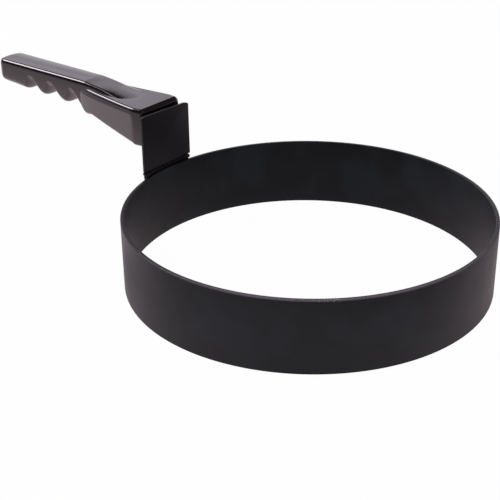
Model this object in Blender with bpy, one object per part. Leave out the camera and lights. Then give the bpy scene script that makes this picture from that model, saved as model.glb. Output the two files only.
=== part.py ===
"""Coated steel egg ring with an upright tab and a moulded finger-grip handle.

Units are metres. The ring lies flat on z = 0 and the handle points along -X. The origin is
the centre of the bounding box in X and Y, on the plane that the ring rests on. Inside the
functions a place is given by its distance out from the ring's axis, its sideways place and
its height, and `at` turns these into world coordinates.
"""

import math

import bmesh
import bpy

# Ring: a rolled steel band
RING_RADIUS = 0.100
RING_WALL = 0.0014
RING_HEIGHT = 0.0396
RIM_ROUND = 0.00035
RING_STEPS = 144

# Clearance left between pieces that touch
GAP = 0.0003

# Tab: a flat upright plate that stands on the rim and is welded to it
TAB_WALL = 0.0020
TAB_WIDTH = 0.0396
TAB_HEIGHT = 0.0334
TAB_LIFT = 0.0023
TAB_SET_IN = 0.0008
TAB_TOP_FALL = 0.0012
TAB_CORNER = 0.0016
TAB_LOW_CORNER = 0.0004
TAB_FAR_CORNER = (0.0052, 0.0016)
TAB_BOTTOM = RING_HEIGHT + TAB_LIFT
TAB_TOP = TAB_BOTTOM + TAB_HEIGHT
TAB_FACE = RING_RADIUS - TAB_SET_IN
TAB_BACK = TAB_FACE + TAB_WALL

# Weld bead under the tab, with a fillet down the ring's outer side that fades towards its far
# end, where the bead leans. Its heel is a share of the way from the ring's wall to the tab's back
RIM_BEAD_NEAR = TAB_WIDTH / 2 + 0.0001
RIM_BEAD_NEAR_TAPER = 0.0005
RIM_BEAD_FAR = TAB_WIDTH / 2 - 0.0012
RIM_BEAD_FAR_TAPER = 0.0003
RIM_BEAD_TOE = 0.00035
RIM_BEAD_HEEL = 0.92
RIM_BEAD_DROP = 0.0044
RIM_BEAD_FADE = 0.0090
RIM_BEAD_LEAN = 0.0014
RIM_BEAD_BULGE = 0.0003
RIM_BEAD_STEPS = 48

# Tang: a steel angle, welded to the back of the tab, whose long leg enters the handle
TANG_WALL = 0.0015
TANG_INSET = 0.0048
TANG_LEG_WIDTH = 0.0160
TANG_BELOW_TAB = 0.0031
TANG_HEIGHT = 0.0142
TANG_LENGTH = 0.0385
TANG_BEND = 0.0030
TANG_BEAD = 0.0014
TANG_FLANGE_WIDTH = TAB_WIDTH - 2 * TANG_INSET
TANG_FRONT = TAB_BACK + GAP
TANG_END = TANG_FRONT + TANG_LENGTH
TANG_TOP = TAB_TOP - TANG_BELOW_TAB
TANG_BOTTOM = TANG_TOP - TANG_HEIGHT

# Handle: a phenolic moulding, measured along from its end face and up from its end block's
# underside
HANDLE_LENGTH = 0.1283
HANDLE_LIFT = 0.0136
END_ROUND = 0.0024
END_CORNER = 0.0012
BLOCK_LENGTH = 0.0072
NECK_LENGTH = 0.0529
BLOCK_HALF = 0.0162
NECK_HALF = 0.0167
WAIST_HALF = 0.0076
WAIST_AT = 0.0377
GRIP_FLARE = 0.0240
GRIP_TOP = 0.0275
GRIP_RISE = 0.0213
RIDGE_SLOPE = 0.102
RIDGE_END = 0.0192
RIDGE_FOOT = 0.0287
SHOULDER_LOW = 0.0219
SHOULDER_SLOPE = 0.0434
TIP_CORNER = 0.0056
TIP_EDGE = 0.0036
TIP_LOWER = 0.0085
HANDLE_START = TANG_FRONT + TANG_WALL + GAP
HANDLE_BASE = TAB_BOTTOM + HANDLE_LIFT

# Screw that holds the handle on the tang, its head under a wall of the moulding
SCREW_ALONG = 0.0247
SCREW_SHANK = 0.0020
SCREW_HEAD = 0.0040
SCREW_HEAD_HEIGHT = 0.0026
SCREW_WALL = 0.0038
BORE_RADIUS = 0.0047
WASHER_WALL = 0.0009
WASHER_RADIUS = 0.0037
SCREW_AT = HANDLE_START + SCREW_ALONG
SCREW_TIP = TANG_TOP - 0.0002
BORE_FLOOR = TANG_TOP - TANG_WALL - SCREW_WALL

# The ring's axis, placed so that the bounding box is centred on the origin
AXIS_X = (HANDLE_START + HANDLE_LENGTH - RING_RADIUS) / 2


def clear_scene() -> None:
    """Remove everything that Blender starts with."""
    for item in list(bpy.data.objects):
        bpy.data.objects.remove(item, do_unlink=True)


def at(out: float, side: float, height: float) -> tuple[float, float, float]:
    """World place of a point given by its distance out along the handle, its side and height."""
    return (AXIS_X - out, side, height)


def on_handle(along: float, side: float, up: float) -> tuple[float, float, float]:
    """World place of a point given from the handle's end face and its base."""
    return at(HANDLE_START + along, side, HANDLE_BASE + up)


def material(name: str, rgb: tuple[float, float, float], roughness: float, metallic: float):
    """Make a Principled material."""
    made = bpy.data.materials.new(name)
    made.use_nodes = True
    shader = made.node_tree.nodes["Principled BSDF"]
    shader.inputs["Base Color"].default_value = (*rgb, 1.0)
    shader.inputs["Roughness"].default_value = roughness
    shader.inputs["Metallic"].default_value = metallic
    made.diffuse_color = (*rgb, 1.0)
    return made


def solid(name: str, points: list, faces: list, look=None, smooth: float = 35.0):
    """Make an object from points and faces, with its normals outward and round faces smooth."""
    shape = bmesh.new()
    corners = [shape.verts.new(point) for point in points]
    for face in faces:
        shape.faces.new([corners[index] for index in face])
    bmesh.ops.recalc_face_normals(shape, faces=shape.faces)
    mesh = bpy.data.meshes.new(name)
    shape.to_mesh(mesh)
    shape.free()
    mesh.shade_smooth()
    mesh.set_sharp_from_angle(angle=math.radians(smooth))
    made = bpy.data.objects.new(name, mesh)
    bpy.context.scene.collection.objects.link(made)
    if look is None:
        made.hide_render = True
        made.display_type = "WIRE"
    else:
        mesh.materials.append(look)
    return made


def loft(name: str, rings: list, look=None, closed: bool = False, smooth: float = 35.0):
    """Join rings of the same number of points into one solid, capped unless it runs round."""
    size = len(rings[0])
    points = [point for ring in rings for point in ring]
    faces = []
    for row in range(len(rings) if closed else len(rings) - 1):
        low = row * size
        high = ((row + 1) % len(rings)) * size
        for step in range(size):
            after = (step + 1) % size
            faces.append((low + step, low + after, high + after, high + step))
    if not closed:
        faces.append(tuple(range(size)))
        last = (len(rings) - 1) * size
        faces.append(tuple(last + step for step in reversed(range(size))))
    return solid(name, points, faces, look, smooth)


def cut(target, cutter, operation: str = "DIFFERENCE") -> None:
    """Add an exact Boolean to the target."""
    boolean = target.modifiers.new(cutter.name, "BOOLEAN")
    boolean.operation = operation
    boolean.solver = "EXACT"
    boolean.object = cutter


def arc(centre: tuple, radii: tuple, start: float, end: float, steps: int) -> list:
    """Points of an elliptical arc, with the angles in degrees."""
    found = []
    for step in range(steps + 1):
        angle = math.radians(start + (end - start) * step / steps)
        found.append((centre[0] + radii[0] * math.cos(angle), centre[1] + radii[1] * math.sin(angle)))
    return found


def rounded_rectangle(low: tuple, high: tuple, radius: float, steps: int = 4) -> list:
    """Outline of a rectangle with round corners."""
    radii = (radius, radius)
    outline = arc((high[0] - radius, high[1] - radius), radii, 0, 90, steps)
    outline += arc((low[0] + radius, high[1] - radius), radii, 90, 180, steps)
    outline += arc((low[0] + radius, low[1] + radius), radii, 180, 270, steps)
    outline += arc((high[0] - radius, low[1] + radius), radii, 270, 360, steps)
    return outline


def ease(low: float, high: float, value: float) -> float:
    """Go smoothly from 0 at low to 1 at high."""
    part = min(1.0, max(0.0, (value - low) / (high - low)))
    return part * part * (3.0 - 2.0 * part)


def mix(first: float, second: float, part: float) -> float:
    """Go from the first value to the second."""
    return first + (second - first) * part


def turned(name: str, profile: list, centre: tuple, steps: int, look=None, smooth: float = 35.0):
    """Turn a closed outline of (radius, height) points round a vertical axis."""
    rings = []
    for step in range(steps):
        angle = 2.0 * math.pi * step / steps
        cosine = math.cos(angle)
        sine = math.sin(angle)
        rings.append([(centre[0] + r * cosine, centre[1] + r * sine, z) for r, z in profile])
    return loft(name, rings, look, closed=True, smooth=smooth)


def post(name: str, centre: tuple, radius: float, low: float, high: float, steps: int = 32, look=None):
    """Make an upright round post."""
    rings = []
    for height in (low, high):
        circle = arc(centre, (radius, radius), 0, 360 * (steps - 1) / steps, steps - 1)
        rings.append([(x, y, height) for x, y in circle])
    return loft(name, rings, look)


def across(name: str, outline: list, near: float, far: float, look=None):
    """Run an outline of (side, height) points along the handle from near to far."""
    return loft(name, [[at(out, side, height) for side, height in outline] for out in (near, far)], look)


def build_ring(look) -> None:
    """Build the band: a tall thin section with eased edges, turned round the ring's axis."""
    inner = RING_RADIUS - RING_WALL
    profile = rounded_rectangle((inner, 0.0), (RING_RADIUS, RING_HEIGHT), RIM_ROUND, 2)
    turned("ring_band", profile, (AXIS_X, 0.0), RING_STEPS, look)


def build_tab(look) -> None:
    """Build the plate: rounded at its corners, with its top edge falling a little to one side."""
    half = TAB_WIDTH / 2
    near = (TAB_CORNER, TAB_CORNER)
    foot = (TAB_LOW_CORNER, TAB_LOW_CORNER)
    wide, tall = TAB_FAR_CORNER
    low_top = TAB_TOP - TAB_TOP_FALL
    outline = arc((half - wide, low_top - tall), (wide, tall), 0, 90, 8)
    outline += arc((-half + TAB_CORNER, TAB_TOP - TAB_CORNER), near, 90, 180, 6)
    outline += arc((-half + TAB_LOW_CORNER, TAB_BOTTOM + TAB_LOW_CORNER), foot, 180, 270, 3)
    outline += arc((half - TAB_LOW_CORNER, TAB_BOTTOM + TAB_LOW_CORNER), foot, 270, 360, 3)
    middle = (TAB_TOP + TAB_BOTTOM) / 2
    ease_in = 0.0004
    shrink = 1.0 - ease_in / half
    rings = []
    for out, scale in (
        (TAB_FACE, shrink),
        (TAB_FACE + ease_in, 1.0),
        (TAB_BACK - ease_in, 1.0),
        (TAB_BACK, shrink),
    ):
        rings.append([at(out, side * scale, middle + (z - middle) * scale) for side, z in outline])
    loft("tab_plate", rings, look, smooth=50)


def rim_bead_section(side: float, swell: float) -> list:
    """Outline of the bead at one place, as (out, side, height) points.

    Its foot follows the rim and its head lies under the tab.
    """
    low = RING_HEIGHT + GAP
    tall = TAB_BOTTOM - GAP - low
    past_near = max(0.0, (RIM_BEAD_NEAR_TAPER - RIM_BEAD_NEAR - side) / RIM_BEAD_NEAR_TAPER)
    past_far = max(0.0, (side - RIM_BEAD_FAR + RIM_BEAD_FAR_TAPER) / RIM_BEAD_FAR_TAPER)
    rise = math.sqrt(1.0 - 0.96 * max(past_near, past_far) ** 2)
    fade = ease(RIM_BEAD_FAR - RIM_BEAD_FADE, RIM_BEAD_FAR, side)
    lean = RIM_BEAD_LEAN * fade
    rim = math.sqrt(RING_RADIUS**2 - (side - lean) ** 2)
    foot_front = rim - RIM_BEAD_TOE * rise
    foot_back = mix(rim, TAB_BACK, RIM_BEAD_HEEL * rise * (1.0 - 0.35 * fade))
    head_front = mix(foot_front, TAB_FACE - 0.00015, rise)
    head_back = mix(foot_back, TAB_BACK + 0.00015, rise)
    bulge = RIM_BEAD_BULGE * rise * swell * (1.0 - fade)
    outline = []
    for step in range(6):
        part = step / 5
        out = mix(foot_front, head_front, part) - bulge * math.sin(math.pi * part)
        outline.append((out, low + tall * rise * part))
    for step in range(4):
        part = 1.0 - step / 4
        out = mix(foot_back, head_back, part) + bulge * math.sin(math.pi * part)
        outline.append((out, low + tall * rise * part))
    wall = rim + GAP
    drop = RIM_BEAD_DROP * rise * (1.0 - 0.8 * fade) + 0.0002
    for share, fall in ((1.0, 0.0), (0.96, 0.40), (0.78, 0.70), (0.42, 0.93)):
        outline.append((mix(wall, max(foot_back, wall + 0.0001), share), low - drop * fall))
    outline.append((wall, low - drop))
    outline.append((wall, low))
    head = low + tall * rise
    return [(out, side - lean * min(1.0, (head - up) / (head - low)), up) for out, up in outline]


def build_rim_bead(look) -> None:
    """Build the rippled bead between the rim and the tab."""
    rings = []
    tapers = [(-RIM_BEAD_NEAR, RIM_BEAD_NEAR_TAPER), (RIM_BEAD_FAR, -RIM_BEAD_FAR_TAPER)]
    sides = [tapers[0][0] + tapers[0][1] * part for part in (0.0, 0.12, 0.4)]
    ends = (tapers[0][0] + tapers[0][1], tapers[1][0] + tapers[1][1])
    sides += [mix(ends[0], ends[1], step / RIM_BEAD_STEPS) for step in range(RIM_BEAD_STEPS + 1)]
    sides += [tapers[1][0] + tapers[1][1] * part for part in (0.4, 0.12, 0.0)]
    for step, side in enumerate(sides):
        section = rim_bead_section(side, 1.0 + 0.25 * math.cos(step * math.pi / 2))
        rings.append([at(*point) for point in section])
    loft("rim_weld", rings, look, smooth=55)


def bead(name: str, path: list, radius: float, look) -> None:
    """Build a weld bead along a path of (x, y, z, outward angle), with ripples and round ends."""
    rings = []
    count = len(path)
    for index, (x, y, z, heading) in enumerate(path):
        part = index / (count - 1)
        end = math.sqrt(max(0.03, 1.0 - abs(2.0 * part - 1.0) ** 6))
        size = radius * end * (1.0 + 0.06 * math.cos(index * math.pi / 1.5))
        ring = []
        for step in range(9):
            angle = heading + math.radians(-45 + 90 * step / 8)
            swell = 1.0 + 0.12 * math.sin(math.pi * step / 8)
            ring.append((x + size * swell * math.cos(angle), y + size * swell * math.sin(angle), z))
        ring.append((x, y, z))
        rings.append(ring)
    loft(name, rings, look, smooth=50)


def tang_bead(name: str, hand: int, look) -> None:
    """Build the bead in the corner between the tang's flange and the back of the tab."""
    side = hand * (TANG_FLANGE_WIDTH / 2 + GAP)
    x = AXIS_X - TANG_FRONT
    heading = math.pi - hand * math.pi / 4
    low = TANG_BOTTOM + 0.0012
    high = TANG_TOP - TANG_BEND
    path = [(x, side, mix(low, high, step / 20), heading) for step in range(21)]
    bead(name, path, TANG_BEAD, look)


def build_tang(look) -> None:
    """Build the angle: a wide upright flange, a bend at its top and a narrower leg."""
    front = TANG_FRONT
    back = front + TANG_WALL
    inner = TANG_TOP - TANG_WALL
    bend = (TANG_BEND, TANG_BEND)
    outer = arc((front + TANG_BEND, TANG_TOP - TANG_BEND), bend, 90, 180, 6)
    profile = [(back, TANG_BOTTOM), (back, inner), (TANG_END, inner), (TANG_END, TANG_TOP)]
    profile += outer + [(front, TANG_BOTTOM)]
    half = TANG_FLANGE_WIDTH / 2
    rings = [[at(out, side, height) for out, height in profile] for side in (-half, half)]
    tang = loft("handle_tang", rings, look)
    leg = TANG_LEG_WIDTH / 2
    rear = TANG_END + 0.002
    corner = arc((TANG_END - 0.003, leg - 0.003), (0.003, 0.003), 0, 90, 4)
    wide = TAB_WIDTH
    outline = [(back, wide), (back, leg)] + corner[::-1] + [(TANG_END, 0.0), (rear, 0.0), (rear, wide)]
    heights = (TANG_BOTTOM - 0.005, TANG_TOP + 0.005)
    for hand, name in ((1, "tang_trim_left"), (-1, "tang_trim_right")):
        pair = [[at(out, hand * side, height) for out, side in outline] for height in heights]
        cut(tang, loft(name, pair))
    centre = (AXIS_X - SCREW_AT, 0.0)
    cut(tang, post("tang_hole", centre, SCREW_SHANK + GAP, *heights, 24))


def half_width(along: float) -> float:
    """Half width of the handle's body."""
    grip_start = NECK_LENGTH + 0.0025
    if along >= grip_start:
        return WAIST_HALF + GRIP_FLARE * (along - WAIST_AT)
    if along <= BLOCK_LENGTH:
        return mix(BLOCK_HALF, NECK_HALF, along / BLOCK_LENGTH)
    grip = WAIST_HALF + GRIP_FLARE * (grip_start - WAIST_AT)
    part = (grip_start - along) / (grip_start - BLOCK_LENGTH)
    return grip + (NECK_HALF - grip) * part**0.8


def ridge_half(along: float) -> float:
    """Half width of the grip and of the ridge that carries on from it over the neck."""
    return min(half_width(along), WAIST_HALF + GRIP_FLARE * max(0.0, along - WAIST_AT))


def shoulder(along: float) -> float:
    """Height of the neck's flat top."""
    low = SHOULDER_LOW + SHOULDER_SLOPE * max(0.0, along - BLOCK_LENGTH)
    low += 0.0002 * (1.0 - ease(BLOCK_LENGTH - 0.003, BLOCK_LENGTH, along))
    return low + 0.0012 * ease(NECK_LENGTH, NECK_LENGTH + 0.010, along)


def grip_top(along: float) -> float:
    """Height of the grip, which bends down over the neck and fades into its flat top."""
    rise = GRIP_RISE * (along - NECK_LENGTH)
    fall = RIDGE_SLOPE * (along - NECK_LENGTH) + 0.9 * max(0.0, RIDGE_FOOT - along) ** 1.5
    soft = 0.0016
    bend = -soft * math.log(math.exp(-rise / soft) + math.exp(-fall / soft)) + soft * math.log(2.0) * (
        math.exp(-abs(along - NECK_LENGTH) / 0.02)
    )
    fade = ease(RIDGE_END - 0.0015, RIDGE_END + 0.0060, along)
    return mix(shoulder(along), max(shoulder(along), GRIP_TOP + bend), fade)


# Places along the handle of the crests and hollows of the finger grip, with their heights
FINGERS = (
    (0.1182, 0.0132),
    (0.1054, 0.0123),
    (0.0999, 0.0197),
    (0.0891, 0.0113),
    (0.0831, 0.0188),
    (0.0708, 0.0102),
    (0.0642, 0.0177),
    (0.0518, 0.0069),
)

# The same for the underside of the neck, down to the end block
NECK_BELOW = (
    (0.0518, 0.0069),
    (0.0451, 0.0085),
    (0.0330, 0.0059),
    (0.0081, 0.0009),
    (0.0063, 0.0001),
    (-0.0003, 0.0000),
)


def below(along: float) -> float:
    """Height of the handle's underside on its middle plane."""
    if along >= FINGERS[0][0]:
        return FINGERS[0][1] + 0.100 * (along - FINGERS[0][0])
    if along > FINGERS[-1][0]:
        for (far, far_height), (near, near_height) in zip(FINGERS, FINGERS[1:]):
            if near <= along <= far:
                return mix(near_height, far_height, ease(near, far, along))
    for (far, far_height), (near, near_height) in zip(NECK_BELOW, NECK_BELOW[1:]):
        if near <= along <= far:
            part = (along - near) / (far - near)
            if far == NECK_BELOW[0][0] or near == NECK_BELOW[4][0]:
                part = ease(0.0, 1.0, part)
            return mix(near_height, far_height, part)
    return NECK_BELOW[-1][1]


def drawn_in(along: float, radius: float) -> float:
    """How far a round edge at the end face is drawn in at one place."""
    near = max(0.0, radius - along) / radius
    return radius * (1.0 - math.sqrt(1.0 - near * near))


def handle_section(along: float) -> list:
    """Closed outline of the handle at one place, as (side, height) points."""
    body = half_width(along)
    ridge = ridge_half(along)
    top = grip_top(along)
    flat = shoulder(along)
    floor = below(along)
    grip = ease(NECK_LENGTH - 0.008, NECK_LENGTH + 0.004, along)
    # The tip is rounded in plan and at its lower edge, and eased at its upper one
    reach = max(0.0, along - (HANDLE_LENGTH - TIP_CORNER)) / TIP_CORNER
    if reach > 0.0:
        inset = TIP_CORNER * (1.0 - math.sqrt(max(0.0, 1.0 - reach * reach)))
        body -= inset
        ridge -= inset
        floor += inset * TIP_LOWER / TIP_CORNER
    edge = max(0.0, along - (HANDLE_LENGTH - TIP_EDGE)) / TIP_EDGE
    if edge > 0.0:
        top -= TIP_EDGE * (1.0 - math.sqrt(max(0.0, 1.0 - edge * edge)))
    flat = mix(flat, mix(floor, top, 0.68), min(1.0, 3.0 * reach))
    # The edge of the end face is rounded all round
    body -= drawn_in(along, END_CORNER)
    ridge -= drawn_in(along, END_CORNER)
    top -= drawn_in(along, END_ROUND)
    flat -= drawn_in(along, END_ROUND)
    floor += drawn_in(along, END_CORNER)
    flank = body - ridge
    rise = top - flat
    shoulder_out = mix(0.0, 0.0016, min(1.0, flank / 0.004))
    shoulder_down = 0.0012
    foot_in = min(0.0016, max(0.0, flank) * 0.4)
    foot_up = min(0.0010, rise * 0.35)
    crest_down = min(0.0018, rise * 0.5)
    crest_in = 0.0019
    room = flat - shoulder_down - floor - 0.0004
    belly_up = min(mix(0.0020, 0.0042, grip), room)
    belly_in = mix(0.0020, body * 0.80, grip)
    half = arc((body - belly_in, floor + belly_up), (belly_in, belly_up), -90, 0, 7)
    half += arc((body - shoulder_out, flat - shoulder_down), (shoulder_out, shoulder_down), 0, 90, 4)
    half += arc((ridge + foot_in, flat + foot_up), (foot_in, foot_up), 270, 180, 3)
    half += arc((ridge - crest_in, top - crest_down), (crest_in, crest_down), 0, 90, 4)
    crown = 0.0004 * grip
    half += [(ridge * 0.40, top + crown * 0.8)]
    mirrored = [(-side, up) for side, up in reversed(half)]
    return [(0.0, floor)] + half + [(0.0, top + crown)] + mirrored


def spread(low: float, high: float, most: float) -> list:
    """Places at even steps from low up to high, which is left out, with steps no longer than most."""
    count = max(1, math.ceil((high - low) / most))
    return [mix(low, high, step / count) for step in range(count)]


def handle_stations() -> list:
    """Places along the handle where it is cut into sections, closer where it curves more."""
    places = [END_ROUND * (1.0 - math.cos(math.radians(18 * step))) for step in range(6)]
    places += [mix(END_ROUND, BLOCK_LENGTH, part) for part in (0.40, 0.75)]
    grip = FINGERS[1][0] + 0.0033
    tip = HANDLE_LENGTH - TIP_CORNER
    places += spread(BLOCK_LENGTH, NECK_LENGTH, 0.0021)
    places += spread(NECK_LENGTH, grip, 0.0012)
    places += spread(grip, tip, 0.0021)
    places += [tip + TIP_CORNER * math.sin(math.radians(10 * step)) for step in range(9)]
    places.append(HANDLE_LENGTH)
    return places


def build_handle(look) -> None:
    """Build the handle through its sections, with a slot for the tang and a bore for the screw."""
    rings = []
    for along in handle_stations():
        section = handle_section(min(along, HANDLE_LENGTH - 0.00002))
        rings.append([on_handle(along, side, up) for side, up in section])
    handle = loft("handle", rings, look, smooth=40)
    leg = TANG_LEG_WIDTH / 2 + GAP
    low = (-leg, TANG_TOP - TANG_WALL - GAP)
    high = (leg, TANG_TOP + GAP)
    slot = rounded_rectangle(low, high, 0.0002, 1)
    cut(handle, across("tang_slot", slot, HANDLE_START - 0.004, TANG_END + 0.0008))
    centre = (AXIS_X - SCREW_AT, 0.0)
    cut(handle, post("screw_bore", centre, BORE_RADIUS, HANDLE_BASE - 0.005, BORE_FLOOR, 36))
    hole_top = TANG_TOP - TANG_WALL / 2
    cut(handle, post("screw_hole", centre, SCREW_SHANK + GAP, BORE_FLOOR - 0.002, hole_top, 28))


def build_screw(look) -> None:
    """Build the pan-head screw, driven up from below, with a cross recess."""
    seat = BORE_FLOOR - GAP - WASHER_WALL - GAP
    bottom = seat - SCREW_HEAD_HEIGHT
    dome = arc((SCREW_HEAD - 0.0016, bottom + 0.0016), (0.0016, 0.0016), -90, 0, 5)
    profile = [(0.0, bottom)] + dome + [(SCREW_HEAD, seat), (SCREW_SHANK, seat)]
    height = seat + 0.0008
    while height < SCREW_TIP - 0.0012:
        profile.append((SCREW_SHANK - 0.0003, height))
        profile.append((SCREW_SHANK, height + 0.0004))
        height += 0.0008
    profile += [(SCREW_SHANK - 0.0006, SCREW_TIP), (0.0, SCREW_TIP)]
    steps = 32
    centre = (AXIS_X - SCREW_AT, 0.0)
    points = [(centre[0], centre[1], profile[0][1])]
    faces = []
    rows = profile[1:-1]
    for radius, z in rows:
        for step in range(steps):
            angle = 2.0 * math.pi * step / steps
            points.append((centre[0] + radius * math.cos(angle), centre[1] + radius * math.sin(angle), z))
    points.append((centre[0], centre[1], SCREW_TIP))
    top = len(points) - 1
    for step in range(steps):
        after = (step + 1) % steps
        faces.append((0, 1 + step, 1 + after))
        for row in range(len(rows) - 1):
            low = 1 + row * steps
            high = low + steps
            faces.append((low + step, low + after, high + after, high + step))
        last = 1 + (len(rows) - 1) * steps
        faces.append((last + step, last + after, top))
    screw = solid("handle_screw", points, faces, look)
    for name, long_side, short_side in (("recess_long", 0.0021, 0.0005), ("recess_short", 0.0005, 0.0021)):
        rings = []
        for z, shrink in ((bottom - 0.001, 1.0), (bottom + 0.0002, 1.0), (bottom + 0.0017, 0.55)):
            dx = long_side * (shrink if long_side > short_side else 1.0)
            dy = short_side * (shrink if short_side > long_side else 1.0)
            corners = ((-dx, -dy), (dx, -dy), (dx, dy), (-dx, dy))
            rings.append([(centre[0] + x, centre[1] + y, z) for x, y in corners])
        cut(screw, loft(name, rings))


def build_washer(look) -> None:
    """Build the split spring washer under the screw's head."""
    top = BORE_FLOOR - GAP
    inner = SCREW_SHANK + GAP
    slit = math.radians(6)
    steps = 36
    rings = []
    for step in range(steps + 1):
        angle = slit + (2.0 * math.pi - 2.0 * slit) * step / steps
        ring = []
        for radius, z in ((inner, top - WASHER_WALL), (WASHER_RADIUS, top - WASHER_WALL), (WASHER_RADIUS, top), (inner, top)):
            x = AXIS_X - SCREW_AT + radius * math.cos(angle)
            ring.append((x, radius * math.sin(angle), z))
        rings.append(ring)
    loft("lock_washer", rings, look)


def main() -> None:
    """Build every piece."""
    clear_scene()
    coated = material("nonstick_coated_steel", (0.0125, 0.0125, 0.0130), 0.52, 0.0)
    coated_tab = material("nonstick_coated_tab", (0.0120, 0.0120, 0.0125), 0.50, 0.0)
    coated_weld = material("nonstick_coated_weld", (0.0115, 0.0115, 0.0120), 0.48, 0.0)
    blackened = material("blackened_steel", (0.0200, 0.0195, 0.0190), 0.45, 0.9)
    phenolic = material("gloss_phenolic", (0.0090, 0.0085, 0.0085), 0.12, 0.0)
    zinc = material("zinc_plated_steel", (0.5600, 0.5650, 0.5750), 0.30, 1.0)
    spring = material("spring_steel", (0.3400, 0.3400, 0.3450), 0.35, 1.0)
    build_ring(coated)
    build_tab(coated_tab)
    build_rim_bead(coated_weld)
    build_tang(blackened)
    tang_bead("tang_weld_left", 1, coated_weld)
    tang_bead("tang_weld_right", -1, coated_weld)
    build_handle(phenolic)
    build_screw(zinc)
    build_washer(spring)


main()
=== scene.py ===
"""Looks of a coated steel egg ring with a moulded finger-grip handle.

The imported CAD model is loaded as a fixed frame. The band, the tab, the rim weld and the handle are
modelled again here in the same places, with finer edges and smooth faces, and take the place of
their CAD nodes. Their outer sizes are the construction's. The band's wall is thicker, and the
handle's ridge and tip follow the real ones more closely. The hidden steel parts stay as they are
and get better finishes. All sizes are metres. The ring's axis is upright and the handle points
along -X. A place is given by its distance out from the ring's axis, its sideways place and its
height, and Layout turns it into world places.
"""

import logging
import math
from dataclasses import dataclass
from enum import Enum

import bmesh
import bpy
from mathutils import Euler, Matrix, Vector


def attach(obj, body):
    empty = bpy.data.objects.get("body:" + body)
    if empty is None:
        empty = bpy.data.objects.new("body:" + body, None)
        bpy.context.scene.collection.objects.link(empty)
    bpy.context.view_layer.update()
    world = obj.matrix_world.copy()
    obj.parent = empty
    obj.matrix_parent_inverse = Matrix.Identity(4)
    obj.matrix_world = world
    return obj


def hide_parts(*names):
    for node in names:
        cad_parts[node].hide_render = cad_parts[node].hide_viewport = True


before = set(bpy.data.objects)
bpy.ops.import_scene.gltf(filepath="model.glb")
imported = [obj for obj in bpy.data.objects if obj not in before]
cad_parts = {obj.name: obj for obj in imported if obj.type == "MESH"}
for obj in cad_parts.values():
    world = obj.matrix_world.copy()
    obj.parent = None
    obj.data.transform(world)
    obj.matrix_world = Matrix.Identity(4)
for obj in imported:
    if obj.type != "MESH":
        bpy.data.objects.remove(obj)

log = logging.getLogger("egg_ring")

MM = 0.001
GAP = 0.0003
# The least height of a row of faces
SLIVER = 0.00002
WHITE = (1.0, 1.0, 1.0, 1.0)
COLOUR = {".data_type": "RGBA"}

Place = tuple[float, float, float]
Outline = list[tuple[float, float]]
Feed = bpy.types.Node | bpy.types.NodeSocket


# ---------------------------------------------------------------- numbers


def linear(colour: str) -> tuple[float, float, float, float]:
    """Turn an sRGB hex colour into linear red, green, blue and alpha.

    Args:
        colour: Six hex digits after a hash.

    Returns:
        Linear values from 0 to 1, with alpha 1.
    """
    values = []
    for start in (1, 3, 5):
        value = int(colour[start : start + 2], 16) / 255.0
        values.append(value / 12.92 if value <= 0.04045 else ((value + 0.055) / 1.055) ** 2.4)
    return (values[0], values[1], values[2], 1.0)


def mix(first: float, second: float, part: float) -> float:
    """Go from the first value to the second."""
    return first + (second - first) * part


def ease(low: float, high: float, value: float) -> float:
    """Go smoothly from 0 at low to 1 at high."""
    part = min(1.0, max(0.0, (value - low) / (high - low)))
    return part * part * (3.0 - 2.0 * part)


def spread(low: float, high: float, most: float) -> list[float]:
    """Places at even steps, none longer than most, from low up to high, which is left out."""
    count = max(1, math.ceil((high - low) / most))
    return [mix(low, high, step / count) for step in range(count)]


def soft_least(first: float, second: float, soft: float) -> float:
    """The smaller of two values, with the change from one to the other rounded."""
    return -soft * math.log(math.exp(-first / soft) + math.exp(-second / soft))


def drawn_in(along: float, radius: float) -> float:
    """How far a round edge that starts at 0 is drawn in at one place."""
    near = max(0.0, radius - along) / radius
    return radius * (1.0 - math.sqrt(1.0 - near * near))


def arc(
    centre: tuple[float, float], radii: tuple[float, float], start: float, end: float, steps: int
) -> Outline:
    """Points of an elliptical arc.

    Args:
        centre: The arc's centre.
        radii: Its radius along the first and second axis.
        start: Angle of the first point, in degrees.
        end: Angle of the last point, in degrees.
        steps: How many stretches it is divided into.

    Returns:
        The points, first and last included.
    """
    points = []
    for step in range(steps + 1):
        angle = math.radians(mix(start, end, step / steps))
        across = centre[0] + radii[0] * math.cos(angle)
        points.append((across, centre[1] + radii[1] * math.sin(angle)))
    return points


# ---------------------------------------------------------------- modelling


def activate(piece: bpy.types.Object) -> None:
    """Make a piece the only selected and the active one."""
    bpy.ops.object.select_all(action="DESELECT")
    piece.select_set(True)
    bpy.context.view_layer.objects.active = piece


def begin_outline(name: str, count: int) -> bpy.types.Object:
    """Add a closed circle of edges whose points are numbered in order, and stay in edit mode.

    Args:
        name: Name of the piece.
        count: How many points the outline has.

    Returns:
        The piece, with all of its outline selected.
    """
    bpy.ops.object.select_all(action="DESELECT")
    bpy.ops.mesh.primitive_circle_add(vertices=count, radius=0.01, fill_type="NOTHING")
    piece = bpy.context.active_object
    piece.name = name
    piece.data.name = name
    bpy.ops.object.mode_set(mode="EDIT")
    shape = bmesh.from_edit_mesh(piece.data)
    number = shape.verts.layers.int.new("number")
    for index, point in enumerate(shape.verts):
        point[number] = index
    bmesh.update_edit_mesh(piece.data)
    bpy.ops.mesh.select_all(action="SELECT")
    return piece


def set_outline(piece: bpy.types.Object, section: list[Place]) -> None:
    """Move the selected outline's points to a section, each by its number.

    Args:
        piece: The piece that is in edit mode.
        section: World places, in the order of the points' numbers.
    """
    shape = bmesh.from_edit_mesh(piece.data)
    number = shape.verts.layers.int["number"]
    for point in shape.verts:
        if point.select:
            point.co = section[point[number]]
    bmesh.update_edit_mesh(piece.data)


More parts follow.
